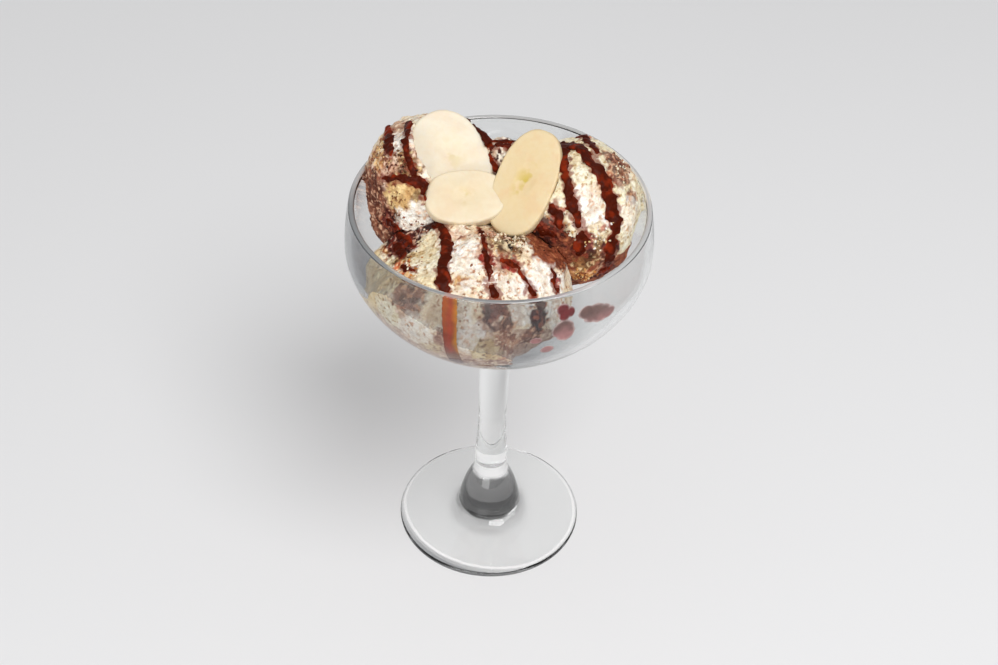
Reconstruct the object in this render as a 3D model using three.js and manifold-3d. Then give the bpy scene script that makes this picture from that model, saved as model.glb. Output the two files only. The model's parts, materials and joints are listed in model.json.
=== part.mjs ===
// A coupe glass holding a tiramisu dessert: three rough scoops of mascarpone cream and
// cocoa-soaked sponge, topped with three slices of banana.
// Millimetres, +Z up. The origin is the middle of the foot's underside, on the table.
import * as THREE from "three";
import { mergeVertices } from "three/addons/utils/BufferGeometryUtils.js";
import Module from "manifold-3d";

const wasm = await Module();
wasm.setup();

// ---- Driving dimensions ----------------------------------------------------------------

const RIM_RADIUS = 49; // outside of the lip
const RIM_HEIGHT = 144.3;
const BELLY_RADIUS = 50.4; // widest ring of the bowl
const BELLY_HEIGHT = 128.4;
const BOWL_BOTTOM = 89.7; // where the bowl's outer curve would meet the axis
const BOWL_ROUNDNESS = 1.7; // 2 is an ellipse, less is more pointed towards the stem
const WALL = 2.0;
const BOWL_FLOOR = 2.2; // solid glass between the stem and the hollow
const STEM_TOP_RADIUS = 5.5;
const STEM_WAIST_RADIUS = 4.9;
const STEM_FOOT_RADIUS = 5.8;
const STEM_TOP = 80;
const STEM_WAIST = 52;
const STEM_FOOT = 24; // the stem turns into the bell here
const BELL_RADIUS = 11;
const BELL_BOTTOM = 8.5;
const FOOT_RADIUS = 32.5;
const FOOT_EDGE = 2.2; // thickness at the foot's edge
const FOOT_RING_INNER = 24; // the flat ring that stands on the table
const FOOT_HOLLOW = 1.2; // the underside rises this much inside the ring

const FOOT_CORNER = 0.8; // how far the foot's edge is rounded off
const GLASS_SEGMENTS = 36;
const BOWL_STEPS = 9; // steps along each of the bowl's curves
const SHOULDER_STEPS = 3;

const GAP = 0.3; // clearance between neighbours that touch

const BIG_LUMP = 34; // wavelength of a scoop's broad lumps
const SMALL_LUMP = 15; // and of the torn lumps on them
const SCOOP_DETAIL = 6; // subdivisions of each scoop's icosahedron
const JOINT_BLOCK = 110; // size of the block that parts sponge from cream
const JOINT_CELLS = 10;
const JOINT_WAVE = 1.6; // height and wavelength of the waves in the joint
const JOINT_WAVELENGTH = 30;

// Each scoop: where its middle is, its half sizes, how square it is (2 is an ellipsoid),
// how lumpy it is, and how far its underside has slumped down the wall towards the back.
const SCOOPS = {
  left: { middle: [-22.8, 15.5, 137.4], half: [20.6, 21.5, 23.6], square: 2.6, lump: 1.2, slump: 15, seed: 1 },
  right: { middle: [23.6, 10, 134.8], half: [22.3, 21.5, 24], square: 2, lump: 1.2, slump: 15, seed: 2 },
  front: { middle: [-9, -16, 121.5], half: [33.5, 31.5, 21], square: 2, lump: 1.5, slump: 4, seed: 3 },
};
const SLUMP_WAY = new THREE.Vector3(0, 0.745, -0.667); // a unit vector

// The sponge side of each scoop: a point on the wavy joint and the direction to the sponge.
const SPONGE = {
  left: { point: [-33, 2, 144], towards: [-0.62, -0.5, -0.6], seed: 11 },
  right: { point: [14, -8, 143], towards: [-0.5, -0.1, -0.86], seed: 12 },
  front: { point: [-4, -44, 129], towards: [-0.1, -0.45, -0.89], seed: 13 },
};

// Each banana slice: middle, half length and half width, where its face looks,
// and which way its long side points.
const SLICES = {
  back: {
    middle: [-16.7, 12.8, 152.7],
    half: [15.6, 11.7],
    face: [0.12, -0.52, 0.84],
    long: [16.6, -22.3, -16.2],
  },
  right: {
    middle: [7.8, 1.6, 151.1],
    half: [18, 9.8],
    face: [-0.2, -0.6, 0.77],
    long: [12.1, 25.4, 22.9],
  },
  front: {
    middle: [-11.2, -1.6, 146.7],
    half: [13, 9.2],
    face: [0, -0.5, 0.86],
    long: [1, 0.08, 0.05],
  },
};
const SLICE_THICKNESS = 5;
const SLICE_BEVEL = 0.9;
const SLICE_SEGMENTS = 26;
const DENT_DEPTH = 12; // how far a dent is kept open in front of its slice

// ---- Small helpers ---------------------------------------------------------------------

const at = (x, y) => new THREE.Vector2(x, y);

function toSolid(geometry) {
  const bare = geometry.index ? geometry.toNonIndexed() : geometry.clone();
  bare.deleteAttribute("normal");
  bare.deleteAttribute("uv");
  const merged = mergeVertices(bare, 1e-4);
  return new wasm.Manifold(
    new wasm.Mesh({
      numProp: 3,
      vertProperties: new Float32Array(merged.attributes.position.array),
      triVerts: new Uint32Array(merged.index.array),
    })
  );
}

function toGeometry(solid) {
  const { vertProperties, triVerts } = solid.getMesh();
  const geometry = new THREE.BufferGeometry();
  geometry.setAttribute("position", new THREE.BufferAttribute(vertProperties, 3));
  geometry.setIndex(new THREE.BufferAttribute(triVerts, 1));
  return geometry;
}

function namedMesh(name, geometry, colour, roughness) {
  const material = new THREE.MeshStandardMaterial({ color: colour, roughness, metalness: 0 });
  const mesh = new THREE.Mesh(geometry, material);
  mesh.name = name;
  return mesh;
}

// Smooth lumps: a few crossed waves, different for each seed, between about -1 and 1.
function lumps(point, wavelength, seed) {
  let sum = 0;
  const waves = 5;
  for (let i = 0; i < waves; i++) {
    const turn = 2.4 * i + 1.7 * seed;
    const tilt = 0.9 * Math.sin(1.3 * i + 2.1 * seed);
    const direction = new THREE.Vector3(
      Math.cos(turn) * Math.cos(tilt),
      Math.sin(turn) * Math.cos(tilt),
      Math.sin(tilt)
    );
    const stretch = 1 + 0.35 * i;
    sum += Math.sin((direction.dot(point) * 2 * Math.PI * stretch) / wavelength + 5.1 * i * seed) / stretch;
  }
  return sum / 1.8;
}

// ---- The glass -------------------------------------------------------------------------

// The bowl's wall from its bottom, or from a given radius, out to the belly.
function bowlCurve(bellyRadius, bottom, fromRadius = 0) {
  const power = 2 / BOWL_ROUNDNESS;
  const start = Math.asin(Math.pow(fromRadius / bellyRadius, 1 / power));
  const points = [];
  for (let i = 0; i <= BOWL_STEPS; i++) {
    const t = start + ((Math.PI / 2 - start) * i) / BOWL_STEPS;
    points.push(
      at(
        bellyRadius * Math.pow(Math.sin(t), power),
        BELLY_HEIGHT - (BELLY_HEIGHT - bottom) * Math.pow(Math.max(Math.cos(t), 0), power)
      )
    );
  }
  points[0].x = fromRadius;
  return points;
}

// From the belly up to the lip, drawn in a little.
function shoulderCurve(bellyRadius, rimRadius, top) {
  const points = [];
  for (let i = 1; i <= SHOULDER_STEPS; i++) {
    const s = i / SHOULDER_STEPS;
    points.push(at(bellyRadius + (rimRadius - bellyRadius) * s * s, BELLY_HEIGHT + (top - BELLY_HEIGHT) * s));
  }
  return points;
}

// The hollow, from the middle of its floor up to the lip, moved in by a clearance.
function hollowProfile(clearance) {
  const belly = BELLY_RADIUS - WALL - clearance;
  const lip = RIM_RADIUS - WALL - clearance;
  return [
    ...bowlCurve(belly, BOWL_BOTTOM + BOWL_FLOOR + clearance),
    ...shoulderCurve(belly, lip, RIM_HEIGHT - WALL / 2),
  ];
}

// The solid glass, from the middle of the foot's underside round to the hollow's floor.
function glassProfile() {
  const foot = [
    at(0, FOOT_HOLLOW),
    at(FOOT_RING_INNER * 0.6, FOOT_HOLLOW * 0.8),
    at(FOOT_RING_INNER, 0),
    at(FOOT_RADIUS - FOOT_CORNER, 0),
    at(FOOT_RADIUS, FOOT_EDGE / 2),
    at(FOOT_RADIUS - FOOT_CORNER, FOOT_EDGE),
  ];
  // The foot climbs gently, then turns up into the bell, which narrows to the stem.
  const slope = new THREE.CubicBezierCurve(
    foot[foot.length - 1], at(24, 3.4), at(BELL_RADIUS + 3, 4.6), at(BELL_RADIUS, BELL_BOTTOM));
  const bell = new THREE.CubicBezierCurve(
    at(BELL_RADIUS, BELL_BOTTOM), at(BELL_RADIUS - 0.6, 14), at(STEM_FOOT_RADIUS + 2.2, 21),
    at(STEM_FOOT_RADIUS, STEM_FOOT));
  const stem = new THREE.SplineCurve([
    at(STEM_FOOT_RADIUS, STEM_FOOT),
    at(STEM_FOOT_RADIUS - 0.1, STEM_FOOT + 8),
    at(STEM_WAIST_RADIUS, STEM_WAIST),
    at(STEM_TOP_RADIUS, STEM_TOP),
  ]);
  const bowl = bowlCurve(BELLY_RADIUS, BOWL_BOTTOM, STEM_TOP_RADIUS + 7);
  const joint = new THREE.QuadraticBezierCurve(
    at(STEM_TOP_RADIUS, STEM_TOP), at(STEM_TOP_RADIUS + 0.6, BOWL_BOTTOM - 0.2), bowl[0]);
  const lipRound = WALL / 2;
  const lipMiddle = at(RIM_RADIUS - lipRound, RIM_HEIGHT - lipRound);
  const lip = [45, 90, 135].map((degrees) => {
    const turn = THREE.MathUtils.degToRad(degrees);
    return at(lipMiddle.x + lipRound * Math.cos(turn), lipMiddle.y + lipRound * Math.sin(turn));
  });
  return [
    ...foot,
    ...slope.getPoints(4).slice(1),
    ...bell.getPoints(4).slice(1),
    ...stem.getPoints(5).slice(1),
    ...joint.getPoints(3).slice(1),
    ...bowl.slice(1),
    ...shoulderCurve(BELLY_RADIUS, RIM_RADIUS, lipMiddle.y),
    ...lip,
    ...hollowProfile(0).reverse(),
  ];
}

// A solid of all the room for food: the hollow, and the space above and over the lip.
function roomInside(clearance) {
  const profile = hollowProfile(clearance);
  const lip = profile[profile.length - 1];
  const wide = 2 * RIM_RADIUS;
  const top = RIM_HEIGHT + RIM_RADIUS;
  profile.push(at(lip.x, RIM_HEIGHT + clearance), at(wide, RIM_HEIGHT + 3 * clearance));
  profile.push(at(wide, top), at(0, top));
  return toSolid(latheZ(profile));
}

// LatheGeometry turns about Y, so the profile is stood up onto Z afterwards.
function latheZ(profile) {
  return new THREE.LatheGeometry(profile, GLASS_SEGMENTS).rotateX(Math.PI / 2);
}

// ---- The scoops ------------------------------------------------------------------------

function scoopBall({ middle, half, square, lump, slump, seed }, grow = 0) {
  const geometry = new THREE.IcosahedronGeometry(1, SCOOP_DETAIL);
  const place = geometry.attributes.position;
  const direction = new THREE.Vector3();
  const size = new THREE.Vector3(...half).addScalar(grow);
  for (let i = 0; i < place.count; i++) {
    direction.fromBufferAttribute(place, i);
    const fullness = direction.toArray().reduce((sum, part) => sum + Math.abs(part) ** square, 0);
    const surface = direction.clone().multiply(size).divideScalar(fullness ** (1 / square));
    const relief = lump * (lumps(surface, BIG_LUMP, seed) + 0.45 * lumps(surface, SMALL_LUMP, seed + 5));
    surface.addScaledVector(direction, relief);
    surface.addScaledVector(SLUMP_WAY, slump * Math.max(0, direction.dot(SLUMP_WAY)));
    place.setXYZ(i, surface.x + middle[0], surface.y + middle[1], surface.z + middle[2]);
  }
  return toSolid(geometry);
}

// A thick wavy block whose near face is the joint between cream and sponge.
function spongeBlock({ point, towards, seed }, grow = 0) {
  const geometry = new THREE.BoxGeometry(JOINT_BLOCK, JOINT_BLOCK, JOINT_BLOCK, JOINT_CELLS, JOINT_CELLS, 1);
  const place = geometry.attributes.position;
  for (let i = 0; i < place.count; i++) {
    if (place.getZ(i) > 0) continue;
    const here = new THREE.Vector3(place.getX(i), place.getY(i), 0);
    place.setZ(i, -JOINT_BLOCK / 2 - grow + JOINT_WAVE * lumps(here, JOINT_WAVELENGTH, seed));
  }
  geometry.translate(0, 0, JOINT_BLOCK / 2);
  const turn = new THREE.Quaternion().setFromUnitVectors(
    new THREE.Vector3(0, 0, 1), new THREE.Vector3(...towards).normalize());
  geometry.applyQuaternion(turn);
  geometry.translate(...point);
  return toSolid(geometry);
}

// ---- The banana slices -----------------------------------------------------------------

// With a clearance it is the dent that the slice presses into the cream, which is open
// in front of the slice's face.
function bananaSlice({ middle, half, face, long }, grow = 0, openFace = 0) {
  const thick = SLICE_THICKNESS;
  const back = -thick / 2 - grow;
  const front = thick / 2 + grow + openFace;
  const profile = [
    at(0, back),
    at(0.92, back),
    at(1, back + SLICE_BEVEL),
    at(1, front - SLICE_BEVEL),
    at(0.92, front),
    at(0, front),
  ];
  const geometry = new THREE.LatheGeometry(profile, SLICE_SEGMENTS).rotateX(Math.PI / 2);
  geometry.scale(half[0] + grow, half[1] + grow, 1);
  const normal = new THREE.Vector3(...face).normalize();
  const along = new THREE.Vector3(...long).projectOnPlane(normal).normalize();
  const across = new THREE.Vector3().crossVectors(normal, along);
  geometry.applyMatrix4(new THREE.Matrix4().makeBasis(along, across, normal));
  geometry.translate(...middle);
  return toSolid(geometry);
}

// ---- Putting it together ---------------------------------------------------------------

const dessert = new THREE.Group();
dessert.add(namedMesh("glass", latheZ(glassProfile()), 0xe6eaea, 0.05));

const each = (table, make) =>
  Object.fromEntries(Object.entries(table).map(([name, item]) => [name, make(item)]));

const slices = each(SLICES, (slice) => bananaSlice(slice));
const sliceRoom = each(SLICES, (slice) => bananaSlice(slice, GAP));
const dents = Object.values(SLICES).map((slice) => bananaSlice(slice, GAP, DENT_DEPTH));
slices.front = slices.front.subtract(sliceRoom.back).subtract(sliceRoom.right);
slices.right = slices.right.subtract(sliceRoom.back);

// The front scoop lies over the other two, and the right one presses into the left one.
const room = roomInside(GAP);
const scoops = each(SCOOPS, (scoop) => scoopBall(scoop).intersect(room));
const scoopRoom = each(SCOOPS, (scoop) => scoopBall(scoop, GAP));
scoops.left = scoops.left.subtract(scoopRoom.front).subtract(scoopRoom.right);
scoops.right = scoops.right.subtract(scoopRoom.front);

for (const [name, scoop] of Object.entries(scoops)) {
  const dented = dents.reduce((solid, dent) => solid.subtract(dent), scoop);
  const cream = dented.subtract(spongeBlock(SPONGE[name], GAP));
  const sponge = dented.intersect(spongeBlock(SPONGE[name]));
  dessert.add(namedMesh(`cream_${name}`, toGeometry(cream), 0xf2e8d2, 0.7));
  dessert.add(namedMesh(`sponge_${name}`, toGeometry(sponge), 0x6b4030, 0.85));
}

for (const [name, slice] of Object.entries(slices)) {
  dessert.add(namedMesh(`banana_slice_${name}`, toGeometry(slice), 0xf8ecc9, 0.45));
}

export default dessert;
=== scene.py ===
import json
import math
import random

import bmesh
import bpy
from bpy.props import FloatProperty, FloatVectorProperty, PointerProperty
from mathutils import Euler, Matrix, Vector, noise
from mathutils.bvhtree import BVHTree
from mathutils.kdtree import KDTree

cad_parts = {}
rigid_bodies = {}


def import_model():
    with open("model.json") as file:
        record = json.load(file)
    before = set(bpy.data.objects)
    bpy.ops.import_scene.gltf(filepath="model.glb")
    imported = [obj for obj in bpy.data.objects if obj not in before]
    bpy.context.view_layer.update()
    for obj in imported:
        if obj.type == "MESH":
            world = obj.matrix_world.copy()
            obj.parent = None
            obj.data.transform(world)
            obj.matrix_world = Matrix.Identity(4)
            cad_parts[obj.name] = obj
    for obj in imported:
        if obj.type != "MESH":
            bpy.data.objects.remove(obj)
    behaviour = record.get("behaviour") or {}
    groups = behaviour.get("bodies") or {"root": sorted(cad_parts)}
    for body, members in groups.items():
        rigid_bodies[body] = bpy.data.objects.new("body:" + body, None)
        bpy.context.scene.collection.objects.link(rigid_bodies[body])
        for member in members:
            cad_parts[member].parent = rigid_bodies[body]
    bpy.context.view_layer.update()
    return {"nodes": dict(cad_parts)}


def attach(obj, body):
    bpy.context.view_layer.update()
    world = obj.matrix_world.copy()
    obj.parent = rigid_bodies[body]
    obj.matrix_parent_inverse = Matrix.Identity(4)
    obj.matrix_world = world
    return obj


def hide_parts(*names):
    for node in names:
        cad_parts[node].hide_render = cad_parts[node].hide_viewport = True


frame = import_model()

bl_info = {
    "name": "Tiramisu in a coupe glass",
    "version": (1, 0, 0),
    "blender": (4, 5, 0),
    "location": "3D View > Sidebar > Tiramisu",
    "description": "Dresses a coupe of tiramisu with cream, sponge, banana and chocolate sauce",
    "category": "Object",
}

MM = 0.001
SEED = 38
FAR = 60  # longer than any ray or search has to be, in millimetres
RAY_START = 1.6  # rays towards a scoop start this far out, as a multiple of its size
DOUBLE = 0.0005  # vertices of a turned shape that are nearer than this, in millimetres, are one

# The shape of the glass apart from the sizes in its settings, in millimetres.
BOWL_ROUNDNESS = 1.7  # 2 is an ellipse, less is more pointed towards the stem
GLASS_STEPS = 160  # facets round the axis
BOWL_STEPS = 40  # facets from the bowl's bottom to its belly
FOOT_RING = 24  # the foot stands on a ring from here outwards, and is hollow inside it
FOOT_ROUNDING = 0.8

# The rings of painted highlight on the glass, whitish and partly opaque, in millimetres.
LIP_RING = 0.45  # height of the one on the lip
EDGE_RING = (0.75, 1.9)  # the one on the foot lies between these distances from its edge
COLLAR_HEIGHT = 26.5  # middle of the one at the stem's lower end
COLLAR_HALVES = (3.6, 3, 2.3)  # half heights of the whole collar, of its sides and of its middle

# The grey crescent inside the foot's edge, a painted shadow. A place in metres times CRESCENT_WAY says
# how far it lies to the front left, up to 0.98 at the foot's edge.
CRESCENT = 2.2  # greatest width in millimetres
CRESCENT_WAY = (-17.0, -25.0, 0.0)
CRESCENT_START = 0.45
CRESCENT_RISE = 0.5
# Painted shade on the glass of the foot: the crescent's grey, and the foot's dark edge.
CRESCENT_PAINTED_SHADOW = (0.46, 0.47, 0.48)
FOOT_EDGE_PAINTED_SHADE = (0.54, 0.55, 0.56)  # painted shade on the foot's edge, and below where the crescent is
FOOT_EDGE_DARKER_PAINTED_SHADE = (0.36, 0.37, 0.38)

# Painted shade in the bell, by height in shares of BELL_REACH: the light that comes through;
# None is all of it.
BELL_REACH = 0.04  # metres above the table
BELL_PAINTED_SHADES = [(0.18, None), (0.23, 0.03), (0.34, 0.035), (0.46, 0.08), (0.56, 0.09), (0.59, None)]

# What the light keeps on its way through the wall, and through the stem and the bell.
WALL_SHADOW = (0.985, 0.985, 0.985)
STEM_SHADOW = (0.8, 0.8, 0.8)

# Food this near the wall, as a share of the way out to it, is pressed against it and just into it.
NEAR_WALL = 0.978
INTO_WALL = 1.0025
LIP_CLEAR = 0.6  # millimetres under the lip that are left out

WHITE = (1.0, 1.0, 1.0)

# Parts of the glass with a painted highlight, whitish and partly opaque, and how opaque they are.
PAINTED_HIGHLIGHTS = {
    "coupe_lip": 0.48, "coupe_foot_edge": 0.48,
    "coupe_collar_edge": 0.25, "coupe_collar_side": 0.4, "coupe_collar": 0.48,
}

# The three scoops and the cream that joins two of them: middle and half sizes, in millimetres.
SCOOPS = {
    "left": ((-22.8, 15.5, 137.4), (20.6, 21.5, 23.6)),
    "right": ((23.6, 10, 134.8), (22.3, 21.5, 24)),
    "front": ((-9, -16, 121.5), (33.5, 31.5, 21)),
    "bridge": ((0, 16, 147.5), (9.5, 8, 8.5)),
}

# Where each banana slice sits: middle, half sizes, the way its face looks, the way its long side points.
SLICES = {
    "back": ((-16.7, 12.8, 152.7), (15.6, 11.7), (0.12, -0.52, 0.84), (16.6, -22.3, -16.2)),
    "right": ((7.8, 1.6, 151.1), (18, 9.8), (-0.2, -0.6, 0.77), (12.1, 25.4, 22.9)),
    "front": ((-11.2, -1.6, 146.7), (13, 9.2), (0, -0.5, 0.86), (1, 0.08, 0.05)),
}

SLICE_SQUARE = 2.35  # 2 is an ellipse, more is squarer
SLICE_STEPS = 120  # facets round a slice
FACE_RINGS = 26  # rings of facets on a slice's face
FACE_ROUNDING = 0.075  # how much narrower than the slice its flat face is, as a share

# Where cream meets sponge both swell a little, in millimetres, so that the joint closes.
SEAM_REACH = 1.3
SEAM_FULL = 0.3  # nearer than this the whole swelling is there
SEAM_FILL = 0.45

# The torn surface of the food: sizes in millimetres of its broad lumps, grains, pores, clumps and swells.
BROAD_LUMP = 7.5
GRAIN = 1.5
PORE = 2.2
CLUMP = 3.2
SWELL = 3.0
PORE_HOLLOW = 0.42  # how far out from its middle a pore is hollow, as a share of its size
SKIN = 0.1  # how far all food stands out beyond its solid, in millimetres

# The torn edges of the patches: sizes in millimetres of what pulls them about.
PULL = 1.8
BROAD_RAG = 3.6
FINE_RAG = 1.5
LEAST_PART = 0.02  # a food with a smaller share than this of a place is left out there

# Ribbons of sauce: the scoop, places on it as (turn, height) in degrees, and the widths in millimetres
# at its two ends. Turn 0 is to the right, -90 to the front; height 90 is the top of the scoop.
RIBBONS = [
    ("right", [(150, 60), (150, 74), (-118, 68), (-101, 56), (-95, 45), (-90, 33), (-85, 22)], 4.8, 2.7),
    ("right", [(128, 66), (97, 81), (-42, 77), (-46, 64), (-47, 50), (-47, 37), (-49, 25), (-53, 12)],
     4.4, 4.2),
    ("right", [(84, 44), (80, 53), (54, 70), (0, 74)], 3.2, 2.8),
    ("right", [(-112, 36), (-107, 28), (-103, 20)], 3.8, 3.2),
    ("right", [(-82, 16), (-82, 8), (-84, -2)], 2.8, 4.2),
    ("right", [(-53, 12), (-56, 4), (-59, -5), (-58, -14)], 2.6, 3.8),
    ("right", [(-125, 20), (-115, 15), (-106, 12)], 3.0, 2.2),
    ("right", [(-62, -24), (-54, -33), (-48, -30)], 3.4, 2.4),
    ("left", [(138, 58), (-176, 68), (-140, 62), (-122, 53), (-110, 46), (-100, 40), (-92, 36)], 2.4, 2.2),
    ("left", [(150, 38), (158, 45), (-173, 51), (-141, 48)], 2.8, 3.2),
    ("left", [(-138, 31), (-125, 36), (-116, 37), (-105, 37), (-96, 35)], 2.0, 2.6),
    ("left", [(-130, -4), (-123, -2), (-117, -3)], 4.2, 3.0),
    ("left", [(44, 55), (29, 54), (18, 48), (2, 43), (-3, 30)], 2.8, 3.0),
    ("bridge", [(150, 52), (110, 78), (40, 62)], 1.8, 1.6),
    ("bridge", [(-140, 50), (-112, 32), (-95, 12)], 1.6, 2.4),
    ("front", [(138, 56), (135, 60), (146, 69)], 2.6, 3.2),
    ("front", [(134, 65), (163, 75), (-147, 74), (-125, 65), (-115, 57), (-109, 47)], 2.8, 4.1),
    ("front", [(156, 40), (164, 46), (174, 52)], 3.0, 2.6),
    ("front", [(168, 38), (178, 44), (-170, 46)], 2.6, 3.0),
    ("front", [(-155, 48), (-147, 50), (-143, 52)], 2.0, 2.2),
    ("front", [(65, 79), (-23, 83), (-59, 73), (-66, 65), (-69, 57)], 1.7, 1.5),
    ("front", [(-70, 52), (-68, 46)], 3.8, 4.6),
    ("front", [(-44, 66), (-35, 61), (-30, 56)], 2.7, 2.3),
    ("front", [(-32, 54), (-34, 50), (-36, 43)], 1.6, 1.5),
    ("front", [(-38, 40), (-40, 36)], 3.2, 3.2),
    ("front", [(-13, 39), (-19, 33), (-21, 28)], 1.6, 1.8),
    ("front", [(-21, 27), (-20, 24)], 2.6, 2.6),
]


def tone(red, green, blue):
    """A colour given as it looks on a screen, 0 to 255, as linear light."""
    def linear(value):
        share = value / 255
        return share / 12.92 if share <= 0.04045 else ((share + 0.055) / 1.055) ** 2.4
    return (linear(red), linear(green), linear(blue))


# Each food: its two colours, the colour of its flecks, the size of its grain in millimetres, the share of
# flecks, and how rough it is in millimetres.
FOODS = {
    "cream": (tone(255, 249, 232), tone(248, 230, 200), tone(176, 122, 86), 5.0, 0.08, 0.40),
    "white": (tone(255, 255, 250), tone(253, 246, 234), tone(230, 196, 170), 4.4, 0.06, 0.40),
    "pale": (tone(251, 248, 228), tone(242, 230, 196), tone(196, 166, 118), 4.6, 0.07, 0.30),
    "beige": (tone(238, 220, 178), tone(208, 180, 132), tone(140, 102, 64), 3.4, 0.16, 0.42),
    "tan": (tone(250, 234, 192), tone(240, 216, 168), tone(184, 150, 104), 5.0, 0.04, 0.16),
    "gold": (tone(238, 190, 126), tone(208, 144, 88), tone(246, 196, 158), 2.8, 0.25, 0.45),
    "blush": (tone(252, 226, 206), tone(220, 172, 144), tone(124, 66, 46), 3.0, 0.17, 0.5),
    "ash": (tone(255, 248, 234), tone(226, 204, 182), tone(70, 32, 22), 2.6, 0.27, 0.6),
    "olive": (tone(150, 106, 64), tone(84, 52, 26), tone(236, 212, 164), 2.6, 0.16, 0.55),
    "ladyfinger": (tone(244, 216, 160), tone(214, 174, 116), tone(132, 86, 48), 3.4, 0.12, 0.4),
    "crumb": (tone(244, 210, 156), tone(152, 98, 62), tone(255, 244, 220), 2.4, 0.26, 0.65),
    "rough": (tone(250, 236, 200), tone(124, 84, 46), tone(30, 12, 5), 2.2, 0.30, 0.75),
    "cocoa": (tone(154, 82, 54), tone(116, 56, 34), tone(182, 112, 74), 4.0, 0.08, 0.32),
    "soaked": (tone(80, 22, 12), tone(42, 9, 4), tone(158, 84, 58), 2.6, 0.10, 0.5),
    "syrup": (tone(96, 28, 18), tone(52, 12, 8), tone(250, 214, 194), 2.0, 0.20, 0.6),
    "plum": (tone(116, 52, 46), tone(68, 24, 25), tone(176, 114, 98), 3.0, 0.12, 0.4),
    "violet": (tone(158, 100, 76), tone(96, 50, 36), tone(222, 178, 148), 2.6, 0.20, 0.6),
    "mauve": (tone(214, 164, 134), tone(152, 98, 76), tone(246, 222, 196), 3.0, 0.20, 0.48),
    "grey": (tone(206, 174, 154), tone(154, 114, 100), tone(236, 214, 188), 3.2, 0.20, 0.4),
    "rust": (tone(220, 122, 78), tone(142, 52, 30), tone(252, 214, 172), 2.4, 0.22, 0.5),
    "amber": (tone(222, 156, 86), tone(158, 90, 42), tone(246, 212, 156), 2.4, 0.18, 0.45),
    "ruby": (tone(172, 36, 26), tone(104, 16, 12), tone(224, 156, 136), 2.4, 0.14, 0.45),
}

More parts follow.
